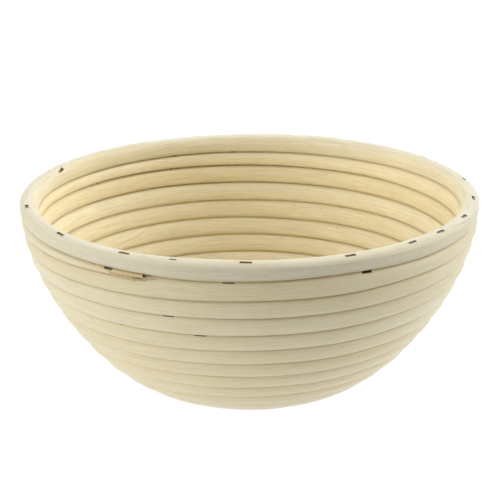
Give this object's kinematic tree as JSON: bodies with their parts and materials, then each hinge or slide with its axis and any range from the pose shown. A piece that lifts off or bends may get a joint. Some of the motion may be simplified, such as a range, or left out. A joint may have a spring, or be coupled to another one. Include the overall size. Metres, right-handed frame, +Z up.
{
  "type": "banneton basket",
  "caption": "Round rattan proofing basket: a coiled cane bowl with a flat spiral base, a level rim ring and wire staples.",
  "frame": {"origin": "centre of the base's underside, on the surface the basket stands on", "axes": "+Z up through the open mouth; +X and +Y level, with the rim cane's scarf between -Y and +X"},
  "size_m": [0.22, 0.22, 0.0951],
  "materials": {
    "rattan_cane": "bare peeled rattan core, satin",
    "rim_rattan_cane": "bare peeled rattan core, sanded, satin",
    "staple_wire": "dull galvanised wire"
  },
  "bodies": {
    "root": {"first_turn_staple_01": "staple_wire", "first_turn_staple_02": "staple_wire", "first_turn_staple_03": "staple_wire", "first_turn_staple_04": "staple_wire", "first_turn_staple_05": "staple_wire", "first_turn_staple_06": "staple_wire", "first_turn_staple_07": "staple_wire", "first_turn_staple_08": "staple_wire", "first_turn_staple_09": "staple_wire", "first_turn_staple_10": "staple_wire", "first_turn_staple_11": "staple_wire", "first_turn_staple_12": "staple_wire", "first_turn_staple_13": "staple_wire", "first_turn_staple_14": "staple_wire", "first_turn_staple_15": "staple_wire", "lower_cane": "rattan_cane", "rim_cane": "rim_rattan_cane", "rim_staple_01": "staple_wire", "rim_staple_02": "staple_wire", "rim_staple_03": "staple_wire", "rim_staple_04": "staple_wire", "rim_staple_05": "staple_wire", "rim_staple_06": "staple_wire", "rim_staple_07": "staple_wire", "rim_staple_08": "staple_wire", "rim_staple_09": "staple_wire", "rim_staple_10": "staple_wire", "rim_staple_11": "staple_wire", "rim_staple_12": "staple_wire", "rim_staple_13": "staple_wire", "rim_staple_14": "staple_wire", "rim_staple_15": "staple_wire", "rim_staple_16": "staple_wire", "rim_staple_17": "staple_wire", "rim_staple_18": "staple_wire", "splice_staple_01": "staple_wire", "splice_staple_02": "staple_wire", "upper_cane": "rattan_cane", "wall_staple_01": "staple_wire", "wall_staple_02": "staple_wire", "wall_staple_03": "staple_wire", "wall_staple_04": "staple_wire", "wall_staple_05": "staple_wire", "wall_staple_06": "staple_wire", "wall_staple_07": "staple_wire", "wall_staple_08": "staple_wire", "wall_staple_09": "staple_wire", "wall_staple_10": "staple_wire", "wall_staple_11": "staple_wire", "wall_staple_12": "staple_wire", "wall_staple_13": "staple_wire", "wall_staple_14": "staple_wire"}
  },
  "joints": []
}
